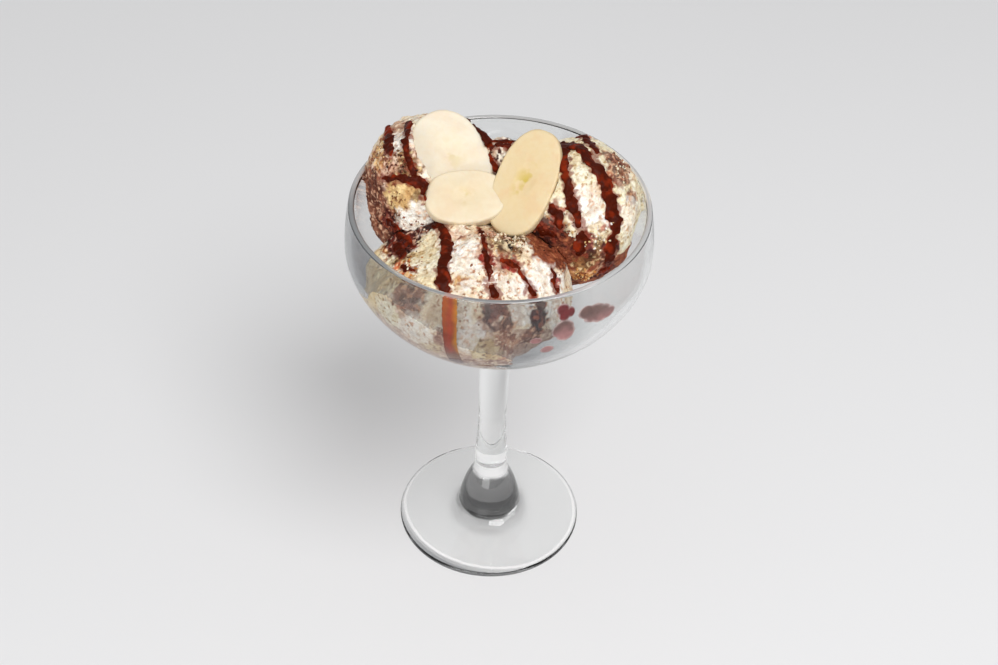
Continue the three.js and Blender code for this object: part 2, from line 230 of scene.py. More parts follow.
# Patches of food on the scoops, the later over the earlier: turn, height, radius in millimetres, food and
# strength.
PATCHES = {
    "left": [
        (-150, 46, 14, "blush", 0.9), (-172, 45, 7, "beige", 1), (-155, 40, 6, "crumb", 1),
        (-146, 37, 5, "amber", 0.8), (176, 60, 4, "mauve", 0.8), (-140, 55, 5, "white", 1),
        (-146, 58, 5.5, "white", 0.9), (-176, 61, 5, "white", 1), (-168, 33, 5, "amber", 0.8),
        (-160, 25, 5, "mauve", 0.8), (-149, 25, 5, "mauve", 0.7), (-129, 39, 5, "soaked", 0.8),
        (-123, 46, 6.5, "olive", 1), (-151, 15, 10, "violet", 1), (-144, 0, 8, "violet", 1),
        (-114, 24, 8.5, "ladyfinger", 1), (-101, 26, 3, "olive", 0.7), (-123, -3, 7, "soaked", 1),
        (-106, 4, 6, "ash", 0.6), (-97, 7, 8.5, "white", 1), (-130, -1, 2.5, "plum", 1),
        (-146, 49, 3, "ruby", 0.9), (-84, 12, 2.6, "soaked", 1), (20, 48, 7, "mauve", 0.7),
        (150, 45, 6, "mauve", 0.7),
    ],
    "right": [
        (-11, 51, 6.5, "violet", 0.85), (4, 58, 4.5, "violet", 0.85), (12, 40, 5, "mauve", 0.6),
        (-21, 28, 3.5, "violet", 0.85), (-82, 43, 5.5, "white", 1), (-80, 28, 5, "white", 1),
        (-62, 49, 4, "blush", 0.5), (-69, 35, 5, "white", 0.8), (-67, 22, 6.5, "white", 1),
        (-66, 10, 6, "beige", 0.7), (-69, 1, 5, "olive", 0.9), (-32, 17, 7, "white", 0.6),
        (-81, 6, 5, "plum", 1), (-56, -2, 4.5, "plum", 1), (-62, -14, 6, "violet", 0.9),
        (-56, -31, 6, "soaked", 1), (-88, -22, 3.6, "gold", 1), (-76, -18, 3.6, "gold", 1),
        (-114, 14, 7, "soaked", 0.95), (-79, -9, 4.5, "olive", 0.8), (-44, 52, 4, "rust", 0.5),
        (-107, 31, 3, "ruby", 0.9), (-55, 18, 2.6, "ruby", 0.7), (73, 57, 2.6, "ruby", 0.9),
    ],
    "front": [
        (-161, 60, 7, "beige", 1), (-131, 53, 6.5, "beige", 1), (169, 34, 4.5, "amber", 1),
        (166, 47, 9, "syrup", 1), (176, 48, 6, "syrup", 1), (157, 40, 6, "syrup", 1),
        (-172, 37, 4, "pale", 1), (160, 52, 2.4, "white", 0.9), (-178, 57, 2.4, "white", 0.9),
        (-166, 45, 3.4, "olive", 1), (-157, 44, 3.2, "rust", 1), (-147, 45, 4.5, "gold", 0.8),
        (143, 62, 4, "soaked", 1), (-133, 64, 3, "blush", 0.7),
        (-145, 60, 6, "pale", 1), (-126, 49, 6, "pale", 0.9), (175, 66, 5, "pale", 0.9),
        (-98, 74, 9, "white", 1), (-122, 78, 6, "white", 1), (150, 84, 3.5, "blush", 0.8),
        (-96, 57, 3.5, "amber", 0.85), (-92, 54, 3, "white", 0.8),
        (17, 80, 5, "rust", 0.6), (-12, 75, 7, "olive", 0.85), (-24, 68, 6, "olive", 0.8),
        (2, 69, 6, "rough", 1), (-54, 76, 4, "mauve", 0.8), (-43, 64, 5, "rust", 0.6),
        (6, 43, 10, "cocoa", 1), (-50, 47, 6, "white", 1), (-66, 53, 4.5, "white", 0.9),
        (-30, 48, 5, "white", 1), (-25, 39, 7.5, "white", 1), (-20, 27, 6, "white", 1),
        (-31, 16, 6, "white", 1), (-32, 6, 5, "white", 1), (-52, 29, 5.5, "white", 1),
        (-162, 21, 10, "tan", 1), (175, 12, 9, "tan", 1), (-143, 34, 6, "tan", 0.8),
        (-136, 18, 8, "ash", 0.6), (-58, 37, 5, "cream", 1),
        (-118, 26, 7, "cream", 0.8), (-129, 35, 6, "violet", 0.85), (-114, -4, 7, "beige", 0.8),
        (-85, 39, 7, "cream", 1), (-76, 19, 8, "grey", 1), (-88, 16, 6.5, "white", 0.9),
        (-72, 35, 5, "plum", 0.9), (-69, 6, 5, "mauve", 1), (-80, 4, 5, "beige", 0.9),
        (-131, 22, 4, "mauve", 0.5), (-65, 27, 4, "violet", 0.9),
        (-40, 28, 2.6, "soaked", 0.9), (-52, 10, 4.6, "violet", 0.9), (-53, 29, 5, "white", 1),
        (-45, 21, 4.4, "soaked", 1), (-139, 16, 6, "pale", 0.9), (-120, 10, 8, "white", 0.7),
        (-112, 70, 5, "white", 1), (-35, 60, 3, "ruby", 0.9), (-61, 70, 2.4, "ruby", 0.9),
        (-39, 37, 2.6, "ruby", 0.9), (-18, 27, 2.6, "ruby", 0.9),
    ],
    "bridge": [],
}

# Drops on the inside of the wall: turn in degrees, height, half width and half height in millimetres.
DROPS = [
    (-65.2, 138.4, 2.4, 2.4), (-64.6, 136.4, 2.2, 2.8), (-62.0, 136.8, 1.6, 2.2), (-64.6, 131.4, 3.6, 3.2),
    (-64.2, 129.8, 3.7, 3.9), (-66.6, 130.6, 2.6, 2.8), (-55.6, 134.6, 3.2, 2.6), (-52.0, 133.0, 4.6, 3.7),
    (-48.6, 131.5, 4.4, 3.5), (-45.2, 130.4, 3.2, 2.3), (-70.6, 123.6, 2.5, 1.9), (-75.3, 128.3, 2.2, 1.3),
]

RIBBON_MESH = 0.27  # size of the faces on the ribbons, in millimetres
SIDE_BEADS = 0.45  # share of a ribbon's beads that have a smaller one at their side

# The run of sauce down the inside of the wall, in degrees and millimetres, and its tints.
RUN_BEADS = 70
RUN_TURN = -107.4  # at its top
RUN_DRIFT = 1.5  # how far it turns on its way down
RUN_MIDDLE = -106.8  # turn from which its left and right parts are told
RUN_TOP = 142.3
RUN_LENGTH = 29
RUN_HALF_WIDTH = 2.6
RUN_TINTS = {
    "low": tone(150, 48, 0), "right": tone(206, 140, 20), "middle": tone(176, 50, 8),
    "foot": tone(118, 62, 18), "tip": tone(104, 62, 62),
}

# The tints of the drops: low and high ones, the pair under the lip at RED_PLACE, and their thin edges.
DROP_TINTS = {
    "low": tone(178, 124, 122), "high": tone(112, 82, 76), "red": tone(116, 22, 26),
    "edge": tone(222, 200, 196),
}
RED_PLACE = (-64.6, 137.6)

SPOT_DEPTH = 0.35  # half the thickness of the run and the drops
SPOT_MESH = 0.25  # size of their faces

# The share of red, green and blue that is lost in the cracks, as painted shade browned like cocoa soaked in,
# and the stain beside a ribbon of sauce.
CRACK_SHADE_AND_SOAK = (0.36, 0.48, 0.56)
STAIN = tone(138, 56, 34)
STAIN_STRENGTH = 0.75
STAIN_REACH = 0.7  # millimetres beyond the ribbon's own width
STAIN_STEP = 0.8  # millimetres between the places on a ribbon that it is measured from

CRUMB_START = 1.5  # crumbs fall from this far out, as a multiple of the scoop's size
CRUMB_LEAST = 0.2  # radius of the smallest crumb, in millimetres
CRUMB_RANGE = 0.5  # how much more the largest has

# Where crumbs lie: scoop, turn, height, spread in degrees, how many, and their foods.
CRUMB_PLACES = [
    ("right", -81, -22, 6, 60, ("gold", "ladyfinger", "amber")),
    ("right", -69, 12, 8, 50, ("white", "pale", "ladyfinger")),
    ("right", -105, 16, 12, 60, ("soaked", "cocoa")),
    ("right", -100, 4, 14, 50, ("cocoa",)),
    ("front", 2, 69, 9, 180, ("olive", "cream", "rough", "blush")),
    ("front", 17, 78, 8, 50, ("mauve", "blush")),
    ("front", 170, 45, 9, 80, ("soaked", "syrup", "plum")),
    ("front", -150, 50, 6, 50, ("rust", "amber", "cream")),
    ("front", -70, 50, 16, 50, ("blush", "mauve")),
    ("left", -123, 44, 9, 70, ("olive", "violet", "soaked")),
    ("left", -160, 38, 12, 90, ("crumb", "violet", "mauve")),
    ("left", -103, 5, 8, 40, ("ash", "white", "violet")),
    ("left", -140, 5, 14, 80, ("violet", "mauve")),
    ("right", -8, 50, 12, 60, ("violet", "mauve", "pale")),
]

# The camera, in metres and degrees, and the lamps: place in metres, size in metres, power in watts.
CAMERA_PLACE = (0, -0.50634, 0.54159)
CAMERA_TURNS = (48.154, -1.711, 1.402)
SENSOR_WIDTH = 36
LAMPS = {
    "key": ((0.32, -0.48, 1.05), 0.65, 7.6),
    "fill": ((-0.35, -0.95, 0.18), 0.7, 5.0),
}
LAMP_AIM = (0, 0, 0.11)
HORIZON = (0.45, 0.45, 0.46)  # the surroundings at the horizon and below it
WHITE_HEIGHT = 0.4  # sine of the height from which they are white
FLOOR_DROP = 0.3  # millimetres between the floor and the foot
BOUNCES = 32  # enough for light to pass the glass many times

# The two solids of each scoop, and the joining cream: scoop, main food, whether it is sponge.
LAYERS = {
    "cream_left": ("left", "cream", False),
    "sponge_left": ("left", "violet", True),
    "cream_right": ("right", "pale", False),
    "sponge_right": ("right", "cocoa", True),
    "cream_front": ("front", "cream", False),
    "sponge_front": ("front", "grey", True),
    "cream_bridge": ("bridge", "ash", False),
}


# ---- settings

def length(name, millimetres, description):
    """A length for the user to change."""
    return FloatProperty(
        name=name, description=description, default=millimetres * MM, min=0.0,
        subtype="DISTANCE", unit="LENGTH")


def colour(name, default, description):
    """A colour for the user to change."""
    return FloatVectorProperty(
        name=name, description=description, default=default, size=3, min=0.0, max=1.0, subtype="COLOR")


class GlassSettings(bpy.types.PropertyGroup):
    rim_radius: length("Rim radius", 49, "Outside of the lip")
    rim_height: length("Rim height", 144.3, "Top of the lip above the table")
    belly_radius: length("Belly radius", 50.4, "Widest ring of the bowl")
    belly_height: length("Belly height", 128.4, "Height of the widest ring")
    bowl_bottom: length("Bowl bottom", 89.7, "Where the bowl's outer curve would meet the axis")
    wall: length("Wall", 2, "Thickness of the bowl's wall")
    floor: length("Bowl floor", 2.2, "Solid glass between the stem and the hollow")
    stem_radius: length("Stem radius", 4.9, "Half the thickness of the stem's waist")
    bell_radius: length("Bell radius", 11, "Half the width of the bell under the stem")
    foot_radius: length("Foot radius", 32.5, "Half the width of the foot")
    foot_edge: length("Foot edge", 2.2, "Thickness of the foot at its edge")
    tint: colour("Tint", (0.975, 0.985, 0.98), "Colour of light that has passed through the glass")


class FoodSettings(bpy.types.PropertyGroup):
    mesh_size: length("Mesh size", 0.38, "Size of the faces on the scoops")
    lump_height: length("Lump height", 0.5, "Height of the broad lumps on the scoops")
    slice_thickness: length("Slice thickness", 5, "Thickness of the banana slices")
    slice_bevel: length("Slice edge", 0.9, "How far the slices' edges are rounded")
    pale_flesh: colour("Pale flesh", tone(226, 217, 198), "Colour of the freshest banana slice")
    yellow_flesh: colour("Yellow flesh", tone(216, 197, 159), "Colour of the ripest banana slice")
    banana_heart: colour("Banana heart", tone(196, 172, 84), "Colour of the marks in the slices' middle")


class SauceSettings(bpy.types.PropertyGroup):
    thickness: length("Thickness", 0.6, "Half the thickness of a ribbon of sauce")
    bead_step: length("Bead step", 0.5, "Distance between the beads that a ribbon is made from")
    dark: colour("Dark sauce", tone(72, 19, 4), "Colour of thick sauce")
    red: colour("Thin sauce", tone(142, 44, 14), "Colour of thinner sauce")
    run: colour("Run on the glass", tone(184, 86, 14), "Colour of the thin run down the wall")


class StageSettings(bpy.types.PropertyGroup):
    floor_size: length("Floor size", 6000, "Side of the floor")
    floor_colour: colour("Floor colour", tone(226, 226, 227), "Colour of the floor")
    surroundings: FloatProperty(
        name="Surroundings", description="Strength of the light from all round", default=0.58, min=0.0)
    lens: FloatProperty(
        name="Lens", description="Focal length of the camera in millimetres", default=72.14, min=1.0,
        unit="CAMERA")


SETTINGS = {
    "tiramisu_glass": GlassSettings,
    "tiramisu_food": FoodSettings,
    "tiramisu_sauce": SauceSettings,
    "tiramisu_stage": StageSettings,
}


# ---- small tools

def bezier(points, steps):
    """Points along a Bezier curve, without the first."""
    found = []
    for step in range(1, steps + 1):
        share = step / steps
        row = [Vector(p) for p in points]
        while len(row) > 1:
            row = [a.lerp(b, share) for a, b in zip(row, row[1:])]
        found.append(tuple(row[0]))
    return found


def smooth_course(points, step):
    """Points a step apart along a smooth curve through the given ones."""
    points = [Vector(p) for p in points]
    row = [2 * points[0] - points[1], *points, 2 * points[-1] - points[-2]]
    fine = []
    for a, b, c, d in zip(row, row[1:], row[2:], row[3:]):
        count = max(2, int((c - b).length / step))
        for i in range(count):
            t = i / count
            fine.append(0.5 * (2 * b + (c - a) * t + (2 * a - 5 * b + 4 * c - d) * t * t
                               + (3 * b - a - 3 * c + d) * t ** 3))
    fine.append(points[-1])
    return fine


def lumps(point, size, seed=0.0):
    """Smooth noise, about -1 to 1, with lumps of that size."""
    x, y, z = point
    return noise.noise(Vector((x / size + seed * 7.31, y / size - seed * 3.17, z / size + seed)))


def pores(point, size):
    """1 at the bottom of a pore, 0 between pores."""
    near = noise.voronoi(point / size)[0][0]
    return max(0.0, 1 - near / PORE_HOLLOW)


def ease(low, high, value):
    """0 at low, 1 at high, with a smooth change between them."""
    share = min(max((value - low) / (high - low), 0.0), 1.0)
    return share * share * (3 - 2 * share)


def mixed(a, b, share):
    """The first colour, with that share of the way to the second."""
    return tuple(x + (y - x) * share for x, y in zip(a, b))


def make_object(context, bm, name):
    """An object of the scene with that mesh."""
    mesh = bpy.data.meshes.new(name)
    bm.to_mesh(mesh)
    bm.free()
    made = bpy.data.objects.new(name, mesh)
    context.scene.collection.objects.link(made)
    return made


def finish_piece(context, bm, name, mat, replaced=None, smooth=True):
    """Scales the mesh from millimetres, makes it an object on the body and gives it its finish."""
    bmesh.ops.scale(bm, vec=(MM, MM, MM), verts=bm.verts)
    piece = make_object(context, bm, name)
    if smooth:
        piece.data.shade_smooth()
    else:
        piece.data.shade_flat()
    piece.data.materials.append(mat)
    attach(piece, "root")
    if replaced:
        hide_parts(replaced)
    return piece


def even_mesh(context, bm, size, rounds):
    """The same form with faces of one size, as one closed skin, then smoothed a little."""
    raw = make_object(context, bm, "raw")
    mesh = raw.data
    remesh = raw.modifiers.new("Even faces", "REMESH")
    remesh.mode = "VOXEL"
    remesh.voxel_size = size
    even = bmesh.new()
    even.from_object(raw, context.evaluated_depsgraph_get())
    bpy.data.objects.remove(raw)
    bpy.data.meshes.remove(mesh)
    for _ in range(rounds):
        bmesh.ops.smooth_vert(
            even, verts=even.verts, factor=0.5, use_axis_x=True, use_axis_y=True, use_axis_z=True)
    return even


def turn_outline(outline, steps):
    """A closed solid turned about the z axis from an outline of (across, up) points."""
    bm = bmesh.new()
    verts = [bm.verts.new((across, 0, up)) for across, up in outline]
    edges = [bm.edges.new(pair) for pair in zip(verts, verts[1:])]
    bmesh.ops.spin(
        bm, geom=verts + edges, cent=(0, 0, 0), axis=(0, 0, 1), dvec=(0, 0, 0), angle=2 * math.pi,
        steps=steps, use_merge=True, use_normal_flip=False, use_duplicate=False)
    bmesh.ops.remove_doubles(bm, verts=bm.verts, dist=DOUBLE)
    bmesh.ops.recalc_face_normals(bm, faces=bm.faces)
    return bm


def paint_verts(bm, tint_at):
    """Gives every vertex the tint of its place."""
    tint = bm.verts.layers.float_color.new("tint")
    for vert in bm.verts:
        vert[tint] = (*tint_at(vert.co), 1)


def relief(bm, height):
    """Moves each vertex along its normal by height(point, normal)."""
    bm.normal_update()
    moves = [height(vert.co, vert.normal) for vert in bm.verts]
    for vert, move in zip(bm.verts, moves):
        vert.co += vert.normal * move


def wall_share(point, glass):
    """How far out a point lies in the hollow of the bowl: 1 at the glass, less inside."""
    belly = (glass.belly_radius - glass.wall) / MM
    lip = (glass.rim_radius - glass.wall) / MM
    middle = glass.belly_height / MM
    floor = (glass.bowl_bottom + glass.floor) / MM
    across = math.hypot(point.x, point.y)
    if point.z >= middle:
        rise = (point.z - middle) / (glass.rim_height / MM - middle)
        return across / (belly + (lip - belly) * min(rise, 1) ** 2)
    drop = (middle - point.z) / (middle - floor)
    return ((across / belly) ** BOWL_ROUNDNESS + drop ** BOWL_ROUNDNESS) ** (1 / BOWL_ROUNDNESS)


def set_wall_share(point, share, glass):
    """The point moved straight out or in, so that its wall share is the given one."""
    scale = share / max(wall_share(point, glass), 0.001)
    middle = glass.belly_height / MM
    if point.z >= middle:
        return Vector((point.x * scale, point.y * scale, point.z))
    return Vector((point.x * scale, point.y * scale, middle - (middle - point.z) * scale))


def press_to_glass(bm, glass):
    """Food that all but touches the wall is pressed flat against it, with no air between."""
    top = glass.rim_height / MM - LIP_CLEAR
    for vert in bm.verts:
        if vert.co.z < top:
            share = wall_share(vert.co, glass)
            if share > NEAR_WALL:
                vert.co = set_wall_share(vert.co, INTO_WALL, glass)


def wall_point(out, height, glass):
    """The point of the wall's inside at that height, in the direction out from the axis."""
    low, high = 0.0, FAR
    for _ in range(30):
        across = (low + high) / 2
        if wall_share(Vector((out.x * across, out.y * across, height)), glass) < 1:
            low = across
        else:
            high = across
    return Vector((out.x * low, out.y * low, height))


def direction(turn, height):
    """The way out from a middle, given by turn and height in degrees."""
    turn, height = math.radians(turn), math.radians(height)
    return Vector((math.cos(height) * math.cos(turn), math.cos(height) * math.sin(turn), math.sin(height)))


def on_scoop(scoop, turn, height, reach=1.0):
    """A place on the rounded form of a scoop, or beyond it with a reach over 1."""
    middle, half = SCOOPS[scoop]
    way = direction(turn, height)
    return Vector(middle) + Vector(a * b for a, b in zip(way, half)) * reach


def face_tree(meshes):
    """The faces of some meshes as one tree, in millimetres."""
    points, faces = [], []
    for mesh in meshes:
        start = len(points)
        points += [vert.co / MM for vert in mesh.vertices]
        faces += [[start + i for i in face.vertices] for face in mesh.polygons]
    return BVHTree.FromPolygons(points, faces)


def food_surface():
    """The finished scoops as one tree of faces."""
    return face_tree([bpy.data.objects[piece_name(node)].data for node in LAYERS])


def piece_name(node):
    """The name of the piece that dresses a node such as cream_left."""
    kind, scoop = node.split("_")
    return f"{scoop}_scoop_{kind}"


def ribbon_course(surface, scoop, places, step):
    """Points and normals on the food along a ribbon of sauce."""
    middle = Vector(SCOOPS[scoop][0])
    found = []
    rough = [on_scoop(scoop, turn, height) for turn, height in places]
    for point in smooth_course(rough, step):
        out = middle + (point - middle) * RAY_START
        hit, normal, _, _ = surface.ray_cast(out, (middle - out).normalized(), FAR)
        if hit is not None:
            found.append((hit, normal))
    return found


# ---- materials

class Finish:
    """A material and short ways to add nodes to it."""

    def __init__(self, name):
        self.material = bpy.data.materials.new(name)
        self.material.use_nodes = True
        self.tree = self.material.node_tree
        self.shader = self.tree.nodes["Principled BSDF"]
        self.output = self.tree.nodes["Material Output"]

    def add(self, kind, inputs=None, **settings):
        """A new node with its inputs set or linked."""
        node = self.tree.nodes.new("ShaderNode" + kind)
        for key, value in settings.items():
            setattr(node, key, value)
        for key, value in (inputs or {}).items():
            self.put(node.inputs[key], value)
        return node

    def put(self, socket, value):
        if isinstance(value, bpy.types.NodeSocket):
            self.tree.links.new(value, socket)
        else:
            socket.default_value = value

    def calc(self, operation, *values):
        """A number worked out from others."""
        return self.add("Math", dict(enumerate(values)), operation=operation).outputs[0]

    def vector(self, operation, *values):
        """A vector, or its length, worked out from others."""
        node = self.add("VectorMath", dict(enumerate(values)), operation=operation)
        return node.outputs["Value" if operation in ("LENGTH", "DOT_PRODUCT") else "Vector"]

    def shade(self, **values):
        """Sets or links inputs of the shader."""
        for key, value in values.items():
            self.put(self.shader.inputs[key.replace("_", " ")], value)

    def place(self):
        return self.add("TexCoord").outputs["Object"]

    def grain(self, scale, detail=3.0, roughness=0.55, vector=None):
        node = self.add("TexNoise", {
            "Vector": vector or self.place(), "Scale": scale, "Detail": detail, "Roughness": roughness})
        return node.outputs["Fac"]

    def remap(self, value, low, high, to_low=0.0, to_high=1.0):
        node = self.add("MapRange", {
            "Value": value, "From Min": low, "From Max": high, "To Min": to_low, "To Max": to_high})
        return node.outputs["Result"]

    def mix(self, share, a, b, blend="MIX"):
        node = self.add("Mix", data_type="RGBA", blend_type=blend)
        self.put(node.inputs[0], share)
        self.put(node.inputs[6], a if isinstance(a, bpy.types.NodeSocket) else (*a, 1))
        self.put(node.inputs[7], b if isinstance(b, bpy.types.NodeSocket) else (*b, 1))
        return node.outputs[2]

    def ramp(self, value, stops):
        node = self.add("ValToRGB", {"Fac": value})
        marks = node.color_ramp.elements
        while len(marks) < len(stops):
            marks.new(1.0)
        for mark, (position, shade) in zip(marks, stops):
            mark.position = position
            mark.color = (*shade, 1)
        return node.outputs["Color"]

    def bump(self, height, strength, distance):
        node = self.add("Bump", {"Height": height, "Strength": strength, "Distance": distance})
        self.put(self.shader.inputs["Normal"], node.outputs["Normal"])


def painted_bell_shade(finish, height, tint):
    """Painted shade in the bell, with faint wavy streaks, between clear glass below and above it."""
    streaks = finish.vector("MULTIPLY", finish.place(), (60.0, 60.0, 420.0))
    wavy = finish.remap(finish.grain(1.0, 3.0, vector=streaks), 0.3, 0.7, -0.0014, 0.0014)
    level = finish.remap(finish.calc("ADD", wavy, height), 0.0, BELL_REACH)
    return finish.ramp(level, [(at, (shade,) * 3 if shade else tint) for at, shade in BELL_PAINTED_SHADES])


def foot_painted_shade(finish, glass, body, flat, height):
    """The body's tint with painted shade over it: the grey crescent, a painted shadow, and the dark edge of
    the foot.
    """
    across = finish.vector("LENGTH", flat)
    towards = finish.vector("DOT_PRODUCT", flat, CRESCENT_WAY)
    crescent = finish.remap(towards, CRESCENT_START, CRESCENT_START + CRESCENT_RISE)
    shifted = finish.calc("MULTIPLY_ADD", crescent, CRESCENT * MM, across)
    in_crescent = finish.remap(shifted, glass.foot_radius - 0.9 * MM, glass.foot_radius - 0.4 * MM)
    # painted shadow: the crescent's grey over the glass's tint
    body = finish.mix(finish.calc("MULTIPLY", in_crescent, crescent), body, CRESCENT_PAINTED_SHADOW)
    at_edge = finish.remap(across, glass.foot_radius - 1.1 * MM, glass.foot_radius - 0.6 * MM)
    below_edge = finish.remap(height, 0.2 * glass.foot_edge, glass.foot_edge, 1.0, 0.15)
    # painted shade along the foot's dark edge
    edge_painted_shade = finish.mix(crescent, FOOT_EDGE_PAINTED_SHADE, FOOT_EDGE_DARKER_PAINTED_SHADE)
    return finish.mix(finish.calc("MULTIPLY", at_edge, below_edge), body, edge_painted_shade)


def glass_finish(name, glass, tint, smeared=0.03, opacity=0.0):
    """Clear glass with faint smears, with painted shade in the bell and painted grey at the foot's edge.

    To shadow and diffuse rays it is plain transparent, so that light passes through it, less in the stem."""
    finish = Finish(name)
    smear = finish.grain(60.0, 4.0)
    parts = finish.add("SeparateXYZ", {0: finish.place()}).outputs
    height = parts["Z"]
    flat = finish.add("CombineXYZ", {0: parts["X"], 1: parts["Y"], 2: 0.0}).outputs[0]
    across = finish.vector("LENGTH", flat)
    near_axis = finish.remap(across, glass.bell_radius + 0.5 * MM, glass.bell_radius + 2.5 * MM, 1.0, 0.0)
    body = finish.mix(smear, tint, tuple(0.985 * c for c in tint))
    # painted shade: the bell darkened through the glass's tint
    body = finish.mix(near_axis, body, painted_bell_shade(finish, height, tint))
    finish.shade(
        Base_Color=foot_painted_shade(finish, glass, body, flat, height), IOR=1.5,
        Roughness=finish.remap(smear, 0.45, 0.75, 0.0, smeared), Transmission_Weight=1.0 - opacity)

    low = finish.remap(height, 18 * MM, 26 * MM, 1.0, 0.3)
    below_bowl = finish.remap(height, 84 * MM, 88 * MM, 1.0, 0.0)
    thick = finish.calc("MULTIPLY", finish.calc("MULTIPLY", near_axis, low), below_bowl)
    clear = finish.add("BsdfTransparent", {"Color": finish.mix(thick, WALL_SHADOW, STEM_SHADOW)}).outputs[0]
    ray = finish.add("LightPath").outputs
    glassy = finish.shader.outputs[0]
    lit = finish.add("MixShader", {0: ray["Is Shadow Ray"], 1: glassy, 2: clear}).outputs[0]
    both = finish.add("MixShader", {0: ray["Is Diffuse Ray"], 1: lit, 2: clear}).outputs[0]
    finish.put(finish.output.inputs["Surface"], both)
    return finish.material


def food_finish(name, rough, grain_size, bump_height, glow):
    """Food painted by its own tint, of crumbs that differ a little in colour, with fine relief."""
    finish = Finish(name)
    tint = finish.add("Attribute", attribute_name="tint").outputs["Color"]
    fine = finish.grain(1 / grain_size, 5.0, 0.65)
    broad = finish.grain(0.22 / grain_size, 3.0, 0.5)
    shift = finish.add("VectorMath", {0: fine, "Scale": 0.8 * grain_size}, operation="SCALE")
    place = finish.vector("ADD", finish.place(), shift.outputs["Vector"])
    crumbs = finish.add("TexVoronoi", {"Vector": place, "Scale": 1 / grain_size}).outputs
    lottery = finish.add("SeparateColor", {0: crumbs["Color"]}).outputs["Red"]
    shaded = finish.mix(lottery, (0.91, 0.875, 0.84), WHITE)
    grained = finish.mix(finish.remap(fine, 0.36, 0.54), (0.86, 0.81, 0.75), WHITE)
    finish.shade(
        Base_Color=finish.mix(1.0, finish.mix(1.0, tint, shaded, "MULTIPLY"), grained, "MULTIPLY"),
        Roughness=finish.remap(broad, 0.35, 0.65, rough - 0.08, rough + 0.14), Specular_IOR_Level=0.25,
        Subsurface_Weight=glow, Subsurface_Scale=1.2 * MM, Subsurface_Radius=(1.0, 0.7, 0.45))
    rounded = finish.remap(crumbs["Distance"], 0.0, 0.9, 1.0, 0.0)
    finish.bump(finish.calc("ADD", rounded, fine), 0.7, bump_height)
    return finish.material


def banana_finish(name, flesh, heart, marks):
    """Smooth flesh, a little warmer towards its heart, with faint blurred marks where the seeds are."""
    finish = Finish(name)
    face = finish.add("UVMap", uv_map="face").outputs["UV"]
    out = finish.vector("LENGTH", finish.vector("ADD", face, (-0.5, -0.5, 0.0)))
    cloud = finish.grain(160.0, 4.0)
    fine = finish.grain(620.0, 4.0)
    blots = finish.grain(240.0, 2.0)
    inner = finish.remap(out, 0.02, 0.22, 1.0, 0.0)
    mark = finish.calc("MULTIPLY", finish.remap(blots, 0.50, 0.62), inner)
    warm = tuple(c * f for c, f in zip(flesh, (0.97, 0.89, 0.74)))
    pink = tuple(c * f for c, f in zip(flesh, (0.98, 0.87, 0.80)))
    body = finish.mix(finish.remap(out, 0.10, 0.46, 0.5, 0.0), flesh, warm)
    body = finish.mix(finish.remap(cloud, 0.48, 0.64, 0.0, 0.35 + 0.4 * marks), body, pink)
    body = finish.mix(finish.remap(fine, 0.40, 0.66, 0.0, 0.3), body, warm)
    finish.shade(
        Base_Color=finish.mix(finish.calc("MULTIPLY", mark, marks), body, heart),
        Roughness=finish.remap(cloud, 0.3, 0.7, 0.36, 0.54), Specular_IOR_Level=0.35,
        Subsurface_Weight=0.2, Subsurface_Scale=1.5 * MM, Subsurface_Radius=(1.0, 0.75, 0.4))
    finish.bump(fine, 0.3, 0.3 * MM)
    return finish.material


def sauce_finish(name, rough=0.28):
    """Glossy chocolate sauce in its own tint, with faint clouds."""
    finish = Finish(name)
    tint = finish.add("Attribute", attribute_name="tint").outputs["Color"]
    cloud = finish.grain(420.0, 4.0)
    fine = finish.grain(1500.0, 2.0)
    shaded = finish.mix(finish.remap(cloud, 0.36, 0.64), (0.72, 0.7, 0.7), WHITE)
    finish.shade(
        Base_Color=finish.mix(1.0, tint, shaded, "MULTIPLY"),
        Roughness=finish.remap(fine, 0.3, 0.7, rough, rough + 0.2), Specular_IOR_Level=0.06)
    finish.bump(fine, 0.2, 0.1 * MM)
    return finish.material


# ---- operators

